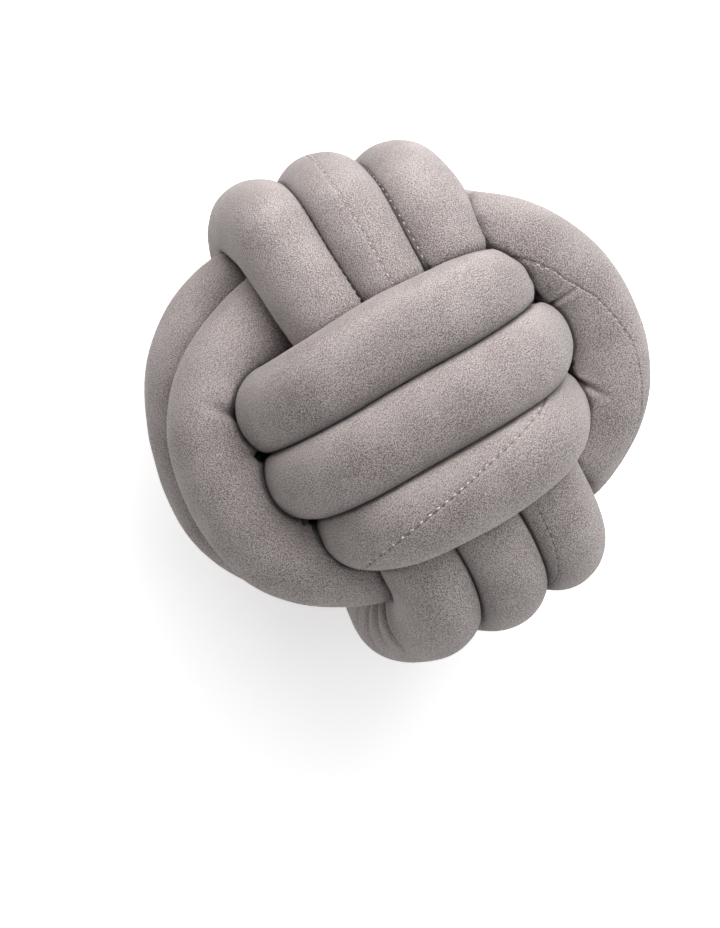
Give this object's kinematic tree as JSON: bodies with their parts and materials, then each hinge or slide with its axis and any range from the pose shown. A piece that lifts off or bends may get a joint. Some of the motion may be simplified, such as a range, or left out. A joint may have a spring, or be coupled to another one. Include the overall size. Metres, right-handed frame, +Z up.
{
  "type": "knot cushion",
  "caption": "Ball-shaped cushion: one long stuffed velour tube tied as a monkey's fist knot, lying on its back.",
  "frame": {"origin": "bottom centre of the ball's bounding box, on the surface it lies on", "axes": "+X along the front (upper) strands, +Y along the strands they cross, +Z up, out of the front face"},
  "size_m": [0.2764, 0.2906, 0.2712],
  "materials": {
    "velour": "short-pile velour, matt, warm grey-mauve"
  },
  "bodies": {
    "root": {"knot_tube": "velour"}
  },
  "joints": []
}
